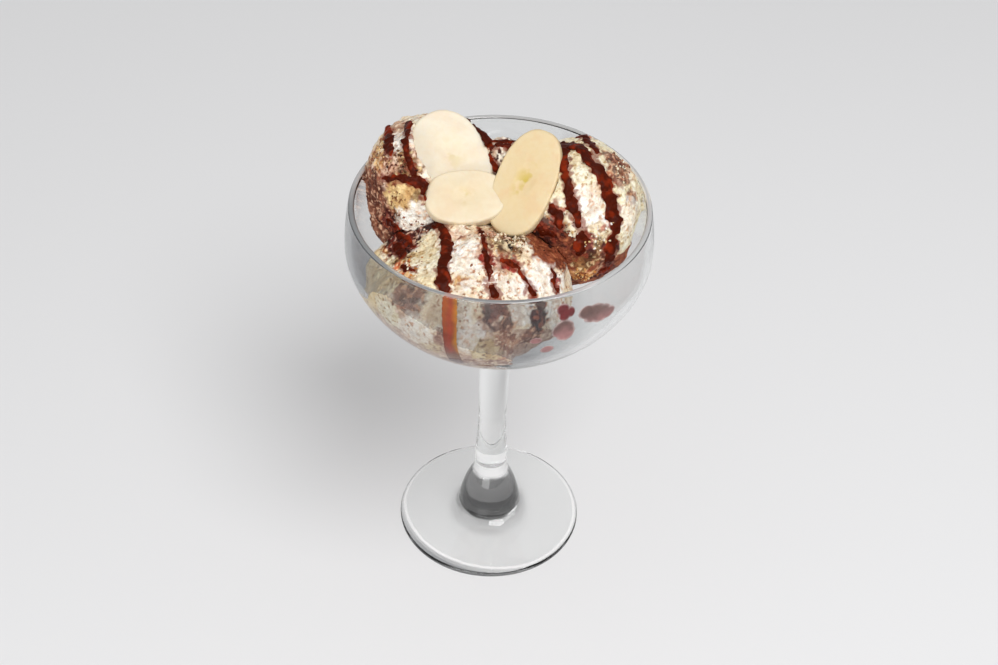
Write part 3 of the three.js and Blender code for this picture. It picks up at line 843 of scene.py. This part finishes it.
def glass_outline(glass):
    """The glass, from the middle of its underside round the outside, over the lip and down into the bowl."""
    wall, edge, foot = glass.wall / MM, glass.foot_edge / MM, glass.foot_radius / MM
    bell, stem = glass.bell_radius / MM, glass.stem_radius / MM
    belly, belly_z = glass.belly_radius / MM, glass.belly_height / MM
    rim, rim_z, bottom = glass.rim_radius / MM, glass.rim_height / MM, glass.bowl_bottom / MM

    def bowl(radius, low, start_radius):
        power = 2 / BOWL_ROUNDNESS
        start = math.asin((start_radius / radius) ** (1 / power))
        turns = [start + (math.pi / 2 - start) * i / BOWL_STEPS for i in range(BOWL_STEPS + 1)]
        return [(radius * math.sin(t) ** power, belly_z - (belly_z - low) * max(math.cos(t), 0) ** power)
                for t in turns]

    def shoulder(radius, top_radius, top):
        return [(radius + (top_radius - radius) * (i / 12) ** 2, belly_z + (top - belly_z) * i / 12)
                for i in range(1, 13)]

    flat = foot - FOOT_ROUNDING
    ring = [(0, 1.2), (14.4, 0.96), (20, 0.45), (FOOT_RING, 0), (flat, 0)]
    round_edge = [(flat + FOOT_ROUNDING * math.sin(t), edge / 2 - edge / 2 * math.cos(t))
                  for t in (math.pi * i / 10 for i in range(1, 11))]
    slope = bezier([(flat, edge), (FOOT_RING, 3.4), (bell + 3, 4.6), (bell, 8.5)], 72)
    cone = bezier([(bell, 8.5), (bell - 0.6, 14), (8, 21), (5.8, 24)], 20)
    shaft = [tuple(p) for p in smooth_course([(5.8, 24), (5.7, 32), (stem, 52), (5.5, 80)], 2.5)[1:]]
    outer = bowl(belly, bottom, 12.5)
    joint = bezier([(5.5, 80), (6.1, bottom - 0.2), outer[0]], 12)
    half = wall / 2
    lip = [(rim - half + half * math.cos(t), rim_z - half + half * math.sin(t))
           for t in (math.pi * i / 10 for i in range(1, 10))]
    inner = (bowl(belly - wall, bottom + glass.floor / MM, 0.0)
             + shoulder(belly - wall, rim - wall, rim_z - half))
    return (ring + round_edge + slope + cone + shaft + joint + outer[1:]
            + shoulder(belly, rim, rim_z - half) + lip + inner[::-1])


class TIRAMISU_OT_glass(bpy.types.Operator):
    """Turn the coupe glass from its outline"""
    bl_idname = "tiramisu.glass"
    bl_label = "Coupe glass"

    def execute(self, context):
        glass = context.scene.tiramisu_glass
        bm = turn_outline(glass_outline(glass), GLASS_STEPS)
        for face in bm.faces:
            face.material_index = self.part_of(face.calc_center_median(), glass)
        clear = glass_finish("coupe_glass", glass, tuple(glass.tint))
        coupe = finish_piece(context, bm, "coupe", clear, "glass")
        # the rings of painted highlight: whitish glass, partly opaque
        for name, opacity in PAINTED_HIGHLIGHTS.items():
            coupe.data.materials.append(glass_finish(name, glass, WHITE, 0.15, opacity))
        return {"FINISHED"}

    @staticmethod
    def part_of(point, glass):
        """Which finish a place on the glass has: 0 clear, then the rings of painted highlight in the order
        of their table.
        """
        across = math.hypot(point.x, point.y)
        edge = glass.foot_edge / MM
        if point.z > glass.rim_height / MM - LIP_RING:
            return 1
        towards = (point.x * CRESCENT_WAY[0] + point.y * CRESCENT_WAY[1]) * MM
        crescent = CRESCENT * min(max((towards - CRESCENT_START) / CRESCENT_RISE, 0), 1)
        inwards = glass.foot_radius / MM - across - crescent
        if EDGE_RING[0] < inwards < EDGE_RING[1] and edge * 0.93 < point.z < 2 * edge:
            return 2
        if across < glass.bell_radius / MM:
            from_collar = abs(point.z - COLLAR_HEIGHT)
            whole, sides, middle = COLLAR_HALVES
            if from_collar < whole:
                return 3 if from_collar > sides else 4 if from_collar > middle else 5
        return 0


def find_patches(scoop):
    """The patches of a scoop, with their places in space."""
    return [(on_scoop(scoop, turn, height), radius, food, strength)
            for turn, height, radius, food, strength in PATCHES[scoop]]


def seed_of(scoop):
    """What tells the noise of one scoop from that of another."""
    return 3 * list(SCOOPS).index(scoop)


def torn(point, is_sponge, seed):
    """How high the torn surface stands, about -1 in its cracks to 1 on its clumps."""
    drawn = Vector((point.x, point.y, point.z * 0.5))
    grains = 0.45 - noise.voronoi(drawn / GRAIN)[0][0]
    fine = 0.45 * lumps(point, 1.3, seed + 2) + 0.9 * grains
    swell = 0.5 * lumps(point, SWELL, seed + 5)
    if is_sponge:
        return 0.2 - 1.3 * pores(point, PORE) + swell + fine
    return 2.4 * abs(lumps(drawn, CLUMP, seed + 1)) - 0.6 + swell + fine


def torn_off(point, size):
    """The point pulled about, so that what is drawn round it has a ragged edge."""
    pull = Vector((lumps(point, size, 21.0), lumps(point, size, 22.0), lumps(point, size, 23.0)))
    return point + 0.55 * size * pull


def food_at(point, base, patches):
    """The colour and the roughness of the food at a point."""
    pulled = torn_off(point, PULL)
    ragged = 2.2 * lumps(point, BROAD_RAG, 6.0) + 1.8 * lumps(pulled, FINE_RAG, 2.0)
    shares = [(base, 1.0)]
    for middle, radius, food, strength in patches:
        away = (point - middle).length + ragged
        if away < radius:
            share = strength * ease(radius, radius * 0.7, away)
            shares = [(name, part * (1 - share)) for name, part in shares] + [(food, share)]
    colour_sum, rough_sum, whole = Vector((0, 0, 0)), 0.0, 0.0
    drawn = Vector((pulled.x, pulled.y, pulled.z * 0.55))
    speck = lumps(pulled, 1.5, 17.0) + 0.5 * lumps(point, 0.8, 18.0)
    fine = lumps(drawn, 1.4, 9.0) + 0.5 * lumps(point, 0.8, 12.0)
    for name, part in shares:
        if part < LEAST_PART:
            continue
        light, dark, fleck, size, flecks, rough = FOODS[name]
        grain = lumps(drawn, size, 4.0) + 0.55 * fine
        shade = mixed(light, dark, ease(-0.38, 0.38, grain))
        shade = mixed(shade, fleck, ease(-0.12, 0.12, speck - 0.46 + 1.04 * flecks))
        colour_sum += Vector(shade) * part
        rough_sum += rough * part
        whole += part
    return colour_sum / whole, rough_sum / whole


class TIRAMISU_OT_scoops(bpy.types.Operator):
    """Shape and paint the cream and the sponge of the scoops"""
    bl_idname = "tiramisu.scoops"
    bl_label = "Cream and sponge"

    def execute(self, context):
        food, glass = context.scene.tiramisu_food, context.scene.tiramisu_glass
        finishes = {
            False: food_finish("cream", rough=0.5, grain_size=0.9 * MM, bump_height=0.4 * MM, glow=0.15),
            True: food_finish("sponge", rough=0.68, grain_size=0.7 * MM, bump_height=0.5 * MM, glow=0.04),
        }
        for node, (scoop, base, is_sponge) in LAYERS.items():
            bm = even_mesh(context, self.start(node), food.mesh_size / MM, 3)
            patches = find_patches(scoop)
            broad = food.lump_height / MM
            seed = seed_of(scoop)
            partner = self.partner(node)

            def height(point, normal):
                _, rough = food_at(point, base, patches)
                away = partner.find_nearest(point)[3] if partner else SEAM_REACH
                seam = SEAM_FILL * ease(SEAM_REACH, SEAM_FULL, away)
                lump = broad * lumps(point, BROAD_LUMP, seed)
                return SKIN + seam + lump + rough * torn(point, is_sponge, seed)

            relief(bm, height)
            press_to_glass(bm, glass)
            finish_piece(
                context, bm, piece_name(node), finishes[is_sponge],
                node if node in frame["nodes"] else None)
        self.paint(food_surface())
        return {"FINISHED"}

    @staticmethod
    def partner(node):
        """The other solid of the same scoop, which this one meets along a seam."""
        kind, scoop = node.split("_")
        other = ("sponge_" if kind == "cream" else "cream_") + scoop
        if other not in frame["nodes"]:
            return None
        return face_tree([frame["nodes"][other].data])

    @staticmethod
    def start(node):
        """The node's own form in millimetres, or a ball for the cream that has no node."""
        bm = bmesh.new()
        if node in frame["nodes"]:
            bm.from_mesh(frame["nodes"][node].data)
            bmesh.ops.remove_doubles(bm, verts=bm.verts, dist=0.00001)
            bmesh.ops.scale(bm, vec=(1 / MM, 1 / MM, 1 / MM), verts=bm.verts)
        else:
            middle, half = SCOOPS[LAYERS[node][0]]
            shape = Matrix.Translation(middle) @ Matrix.Diagonal((*half, 1))
            bmesh.ops.create_icosphere(bm, subdivisions=4, radius=1, matrix=shape)
        return bm

    @staticmethod
    def paint(surface):
        """Gives every point of the scoops its colour: foods, stains beside the sauce, and painted shade in
        the cracks.
        """
        stains = [(hit, (first + last) / 2) for scoop, places, first, last in RIBBONS
                  for hit, _ in ribbon_course(surface, scoop, places, STAIN_STEP)]
        tree = KDTree(len(stains))
        for index, (hit, _) in enumerate(stains):
            tree.insert(hit, index)
        tree.balance()
        stain = Vector(STAIN)
        for node, (scoop, base, is_sponge) in LAYERS.items():
            mesh = bpy.data.objects[piece_name(node)].data
            patches = find_patches(scoop)
            seed = seed_of(scoop)
            colours = []
            for vert in mesh.vertices:
                point = vert.co / MM
                tint, rough = food_at(point, base, patches)
                _, index, away = tree.find(point)
                half = stains[index][1] / 2
                soak = ease(half + STAIN_REACH, half - 0.1, away + 2.0 * lumps(point, 1.5, 3.0))
                tint = tint.lerp(stain, STAIN_STRENGTH * soak)
                # painted shade in the cracks of the relief, browned like cocoa soaked in
                crack_shade_and_soak = ease(-0.15, -0.75, torn(point, is_sponge, seed)) * min(rough / 0.7, 1)
                shade = Vector([1 - loss * crack_shade_and_soak for loss in CRACK_SHADE_AND_SOAK])
                colours += [*(tint * shade), 1.0]
            mesh.attributes.new("tint", "FLOAT_COLOR", "POINT").data.foreach_set("color", colours)


class TIRAMISU_OT_bananas(bpy.types.Operator):
    """Cut the three slices of banana"""
    bl_idname = "tiramisu.bananas"
    bl_label = "Banana slices"

    def execute(self, context):
        food = context.scene.tiramisu_food
        pale, yellow, heart = tuple(food.pale_flesh), tuple(food.yellow_flesh), tuple(food.banana_heart)
        looks = {"back": (pale, 0.35), "right": (yellow, 1.0), "front": (mixed(pale, yellow, 0.45), 0.4)}
        for index, (name, (middle, half, face, long_side)) in enumerate(SLICES.items()):
            flesh, marks = looks[name]
            bm = self.disc(food.slice_thickness / MM, food.slice_bevel / MM)
            uv = bm.loops.layers.uv.new("face")
            for bm_face in bm.faces:
                for loop in bm_face.loops:
                    loop[uv].uv = (loop.vert.co.x / 2 + 0.5, loop.vert.co.y / 2 + 0.5)
            for vert in bm.verts:
                turn = math.atan2(vert.co.y, vert.co.x)
                square = abs(math.cos(turn)) ** SLICE_SQUARE + abs(math.sin(turn)) ** SLICE_SQUARE
                fuller = square ** (-1 / SLICE_SQUARE)
                vert.co = Vector((vert.co.x * fuller * half[0], vert.co.y * fuller * half[1], vert.co.z))

            def height(point, normal):
                return 0.22 * lumps(point, 6.0, index) + 0.08 * lumps(point, 2.0, index + 4)

            relief(bm, height)
            up = Vector(face).normalized()
            along = Vector(long_side)
            along = (along - up * along.dot(up)).normalized()
            turned = Matrix((along, up.cross(along), up)).transposed().to_4x4()
            bmesh.ops.transform(bm, matrix=Matrix.Translation(middle) @ turned, verts=bm.verts)
            mat = banana_finish(f"banana_{name}", flesh, heart, marks)
            finish_piece(context, bm, f"banana_{name}", mat, f"banana_slice_{name}")
        return {"FINISHED"}

    @staticmethod
    def disc(thick, bevel):
        """A round slice of radius 1 with soft edges and a slightly hollow heart."""
        half = thick / 2
        top = []
        for i in range(FACE_RINGS):
            across = (1 - FACE_ROUNDING) * i / FACE_RINGS
            hollow = 0.25 * ease(0.42, 0.1, across)
            top.append((across, half - hollow + 0.12 * math.sin(math.pi * i / FACE_RINGS)))
        rounding = [(1 - FACE_ROUNDING * (1 - math.sin(t)), half - bevel * (1 - math.cos(t)))
                    for t in (math.pi / 2 * i / 6 for i in range(7))]
        side = [(1 + 0.012 * math.sin(math.pi * i / 5), half - bevel - (thick - 2 * bevel) * i / 5)
                for i in range(1, 5)]
        bottom = [(across, -up) for across, up in reversed(rounding)]
        bottom += [(across, -half) for across in (0.6, 0.3, 0)]
        return turn_outline(top + rounding + side + bottom, SLICE_STEPS)


def add_bead(bm, point, normal, along, wide, deep, long_half):
    """One flattened bead, lying on the surface."""
    side = normal.cross(along).normalized()
    along = side.cross(normal).normalized()
    axes = Matrix((along * long_half, side * wide, normal * deep)).transposed().to_4x4()
    bmesh.ops.create_icosphere(bm, subdivisions=2, radius=1, matrix=Matrix.Translation(point) @ axes)


class TIRAMISU_OT_sauce(bpy.types.Operator):
    """Pour the ribbons of chocolate sauce over the scoops"""
    bl_idname = "tiramisu.sauce"
    bl_label = "Chocolate sauce"

    def execute(self, context):
        sauce, glass = context.scene.tiramisu_sauce, context.scene.tiramisu_glass
        surface = food_surface()
        pick = random.Random(SEED)
        bm = bmesh.new()
        for index, (scoop, places, first, last) in enumerate(RIBBONS):
            course = ribbon_course(surface, scoop, places, sauce.bead_step / MM)
            self.pour(bm, course, index, first, last, sauce.thickness / MM, pick)
        bm = even_mesh(context, bm, RIBBON_MESH, 6)
        relief(bm, lambda point, normal: 0.12 * lumps(point, 3.0, 1.0) + 0.16 * lumps(point, 1.1, 2.0))
        press_to_glass(bm, glass)
        dark, red = tuple(sauce.dark), tuple(sauce.red)

        def ribbon_tint(point):
            above = surface.find_nearest(point)[3]
            patchy = lumps(point, 3.4, 5.0) + 0.3 * lumps(point, 1.2, 6.0)
            thin = 0.3 * ease(0.5, 0.1, above) + 0.7 * ease(0.05, 0.5, patchy)
            return mixed(dark, red, min(thin, 1.0))

        paint_verts(bm, ribbon_tint)
        finish_piece(context, bm, "sauce_ribbons", sauce_finish("sauce"))
        return {"FINISHED"}

    @staticmethod
    def pour(bm, course, index, first, last, deep, pick):
        """Beads along one ribbon, with smaller ones at its sides here and there."""
        end = len(course) - 1
        for i, (hit, normal) in enumerate(course):
            along = course[min(i + 2, end)][0] - course[max(i - 2, 0)][0]
            if along.length < 0.01:
                continue
            share = i / end
            ends = min(1.0, 0.55 + 0.12 * min(i, end - i))
            swell = 1.0 + 0.3 * lumps(hit, 6.0, index) + 0.6 * lumps(hit, 1.9, index + 3)
            wide = (first + (last - first) * share) / 2 * swell * ends
            side = normal.cross(along).normalized()
            drift = side * (0.6 * lumps(hit, 4.0, index + 6) + 0.8 * lumps(hit, 1.5, index + 7))
            add_bead(bm, hit + drift, normal, along, wide, deep * ends, max(wide, 1.0))
            if pick.random() < SIDE_BEADS:
                reach = pick.choice((-1, 1)) * wide * pick.uniform(0.7, 1.15)
                size = pick.uniform(0.35, 0.8)
                add_bead(bm, hit + drift + side * reach, normal, along, size, deep * 0.7, size * 1.3)


class TIRAMISU_OT_wall_sauce(bpy.types.Operator):
    """Let a run and a few drops of sauce slide down the inside of the glass"""
    bl_idname = "tiramisu.wall_sauce"
    bl_label = "Sauce on the glass"

    def execute(self, context):
        sauce, glass = context.scene.tiramisu_sauce, context.scene.tiramisu_glass
        run = bmesh.new()
        for i in range(RUN_BEADS):
            share = i / (RUN_BEADS - 1)
            wide = RUN_HALF_WIDTH + 0.15 * math.sin(9 * share)
            self.spot(run, glass, RUN_TURN + RUN_DRIFT * share, RUN_TOP - RUN_LENGTH * share, wide, 1.1)
        middle = tuple(sauce.run)
        self.finish(
            context, run, "sauce_run", sauce_finish("run", 0.3), lambda point: self.run_tint(point, middle))
        drops = bmesh.new()
        for turn, height, wide, tall in DROPS:
            self.spot(drops, glass, turn, height, wide, tall)
        self.finish(context, drops, "sauce_drops", sauce_finish("drops", 0.35), self.drop_tint)
        return {"FINISHED"}

    @staticmethod
    def run_tint(point, middle):
        """Brighter along the run's right edge, darker down its middle and at its foot."""
        down = (RUN_TOP - point.z) / RUN_LENGTH + 0.05 * lumps(point, 2.0, 8.0)
        across = math.degrees(math.atan2(point.y, point.x)) - RUN_MIDDLE + 1.5 * lumps(point, 6.0, 2.0)
        shade = mixed(middle, RUN_TINTS["low"], ease(0.1, 0.6, down))
        shade = mixed(shade, RUN_TINTS["right"], 0.8 * ease(0.6, 3.2, across))
        shade = mixed(shade, RUN_TINTS["middle"], 0.6 * ease(-1.6, -0.2, across) * ease(1.2, 0.2, across))
        shade = mixed(shade, RUN_TINTS["foot"], ease(0.66, 0.8, down))
        return mixed(shade, RUN_TINTS["tip"], ease(0.86, 0.93, down))

    @staticmethod
    def drop_tint(point):
        """Darker in the higher drops, red in the pair at RED_PLACE, and pale at every drop's edge."""
        high = point.z + 1.5 * lumps(point, 4.0, 3.0)
        shade = mixed(DROP_TINTS["low"], DROP_TINTS["high"], ease(127.0, 133.5, high))
        turn = math.degrees(math.atan2(point.y, point.x))
        near = math.hypot(turn - RED_PLACE[0], 1.3 * (point.z - RED_PLACE[1]))
        shade = mixed(shade, DROP_TINTS["red"], ease(4.9, 3.8, near))
        across = math.hypot(point.x, point.y)
        inside = min(
            math.hypot(across * math.radians(turn - drop_turn) / wide, (point.z - height) / tall)
            for drop_turn, height, wide, tall in DROPS)
        edge = ease(0.62, 1.0, inside + 0.12 * lumps(point, 1.4, 4.0))
        return mixed(shade, DROP_TINTS["edge"], 0.75 * edge)

    @staticmethod
    def spot(bm, glass, turn, height, wide, tall):
        """A flat bead against the inside of the wall."""
        out = direction(turn, 0)
        point = wall_point(out, height, glass)
        up = (wall_point(out, height + 0.5, glass) - point).normalized()
        normal = up.cross(Vector((-out.y, out.x, 0))).normalized()
        add_bead(bm, point, normal, up, wide, SPOT_DEPTH, tall)

    @staticmethod
    def finish(context, bm, name, mat, tint_at):
        bm = even_mesh(context, bm, SPOT_MESH, 3)
        paint_verts(bm, tint_at)
        finish_piece(context, bm, name, mat)


class TIRAMISU_OT_crumbs(bpy.types.Operator):
    """Scatter crumbs of sponge and cocoa over the scoops"""
    bl_idname = "tiramisu.crumbs"
    bl_label = "Crumbs"

    def execute(self, context):
        surface = food_surface()
        pick = random.Random(SEED)
        bm = bmesh.new()
        tint = bm.verts.layers.float_color.new("tint")
        for scoop, turn, height, spread, count, foods in CRUMB_PLACES:
            middle = Vector(SCOOPS[scoop][0])
            for _ in range(count):
                place = on_scoop(
                    scoop, turn + pick.gauss(0, spread), height + pick.gauss(0, spread * 0.6), CRUMB_START)
                hit, normal, _, _ = surface.ray_cast(place, (middle - place).normalized(), FAR)
                if hit is None:
                    continue
                size = CRUMB_LEAST + CRUMB_RANGE * pick.random() ** 2
                made = bmesh.ops.create_icosphere(bm, subdivisions=1, radius=size)["verts"]
                shift = Vector((pick.random(), pick.random(), pick.random())) * 50
                shade = mixed(*FOODS[pick.choice(foods)][:2], pick.random())
                turned = Euler((pick.uniform(0, 6), pick.uniform(0, 6), pick.uniform(0, 6))).to_matrix()
                for vert in made:
                    vert.co *= 1 + 0.45 * noise.noise(vert.co * 1.6 / size + shift)
                    vert.co = turned @ Vector((vert.co.x, vert.co.y * 0.8, vert.co.z * 0.65))
                    vert.co += hit + normal * size * 0.25
                    vert[tint] = (*shade, 1)
        press_to_glass(bm, context.scene.tiramisu_glass)
        mat = food_finish("crumbs", rough=0.7, grain_size=0.6 * MM, bump_height=0.4 * MM, glow=0.05)
        finish_piece(context, bm, "crumbs", mat, smooth=False)
        return {"FINISHED"}


class TIRAMISU_OT_stage(bpy.types.Operator):
    """Set up the floor, the lights and the camera"""
    bl_idname = "tiramisu.stage"
    bl_label = "Stage"

    def execute(self, context):
        stage = context.scene.tiramisu_stage
        bm = bmesh.new()
        bmesh.ops.create_grid(bm, x_segments=1, y_segments=1, size=stage.floor_size / 2)
        bmesh.ops.translate(bm, vec=(0, 0, -FLOOR_DROP * MM), verts=bm.verts)
        floor = make_object(context, bm, "floor")
        finish = Finish("floor")
        finish.shade(Base_Color=(*stage.floor_colour, 1), Roughness=0.9, Specular_IOR_Level=0.1)
        floor.data.materials.append(finish.material)
        for name, (place, size, power) in LAMPS.items():
            self.lamp(context, name, place, size, power)
        self.world(context, stage.surroundings)
        data = bpy.data.cameras.new("camera")
        data.lens = stage.lens
        data.sensor_width = SENSOR_WIDTH
        camera = bpy.data.objects.new("camera", data)
        camera.location = CAMERA_PLACE
        camera.rotation_euler = [math.radians(turn) for turn in CAMERA_TURNS]
        context.scene.collection.objects.link(camera)
        context.scene.camera = camera
        context.scene.view_settings.view_transform = "Standard"
        context.scene.cycles.max_bounces = BOUNCES
        context.scene.cycles.transmission_bounces = BOUNCES
        return {"FINISHED"}

    @staticmethod
    def lamp(context, name, place, size, power):
        data = bpy.data.lights.new(name, "AREA")
        data.shape = "DISK"
        data.size = size
        data.energy = power
        lamp = bpy.data.objects.new(name, data)
        lamp.location = place
        aim = Vector(LAMP_AIM) - Vector(place)
        lamp.rotation_euler = aim.to_track_quat("-Z", "Y").to_euler()
        context.scene.collection.objects.link(lamp)

    @staticmethod
    def world(context, strength):
        """White from high up, and greyer towards the horizon and below it, which draws the glass's edges."""
        world = bpy.data.worlds.new("studio")
        world.use_nodes = True
        context.scene.world = world
        nodes, links = world.node_tree.nodes, world.node_tree.links
        back = nodes["Background"]
        where = nodes.new("ShaderNodeTexCoord")
        parts = nodes.new("ShaderNodeSeparateXYZ")
        ramp = nodes.new("ShaderNodeValToRGB")
        links.new(where.outputs["Generated"], parts.inputs[0])
        links.new(parts.outputs["Z"], ramp.inputs[0])
        links.new(ramp.outputs[0], back.inputs["Color"])
        low, high = ramp.color_ramp.elements
        low.position = 0.0
        low.color = (*HORIZON, 1)
        high.position = WHITE_HEIGHT
        high.color = (*WHITE, 1)
        back.inputs["Strength"].default_value = strength


OPERATORS = [
    TIRAMISU_OT_glass, TIRAMISU_OT_scoops, TIRAMISU_OT_bananas, TIRAMISU_OT_sauce,
    TIRAMISU_OT_wall_sauce, TIRAMISU_OT_crumbs, TIRAMISU_OT_stage,
]


class TIRAMISU_PT_panel(bpy.types.Panel):
    """Lists the pieces of the dessert and their sizes"""
    bl_label = "Tiramisu"
    bl_idname = "TIRAMISU_PT_panel"
    bl_space_type = "VIEW_3D"
    bl_region_type = "UI"
    bl_category = "Tiramisu"

    def draw(self, context):
        for operator in OPERATORS:
            self.layout.operator(operator.bl_idname)
        for name, group in SETTINGS.items():
            box = self.layout.box()
            for field in group.__annotations__:
                box.prop(getattr(context.scene, name), field)


CLASSES = [*SETTINGS.values(), *OPERATORS, TIRAMISU_PT_panel]


def register():
    for cls in CLASSES:
        bpy.utils.register_class(cls)
    for name, group in SETTINGS.items():
        setattr(bpy.types.Scene, name, PointerProperty(type=group))


def unregister():
    for name in SETTINGS:
        delattr(bpy.types.Scene, name)
    for cls in reversed(CLASSES):
        bpy.utils.unregister_class(cls)


def main():
    register()
    for operator in OPERATORS:
        group, name = operator.bl_idname.split(".")
        getattr(getattr(bpy.ops, group), name)()


if __name__ == "__main__":
    main()
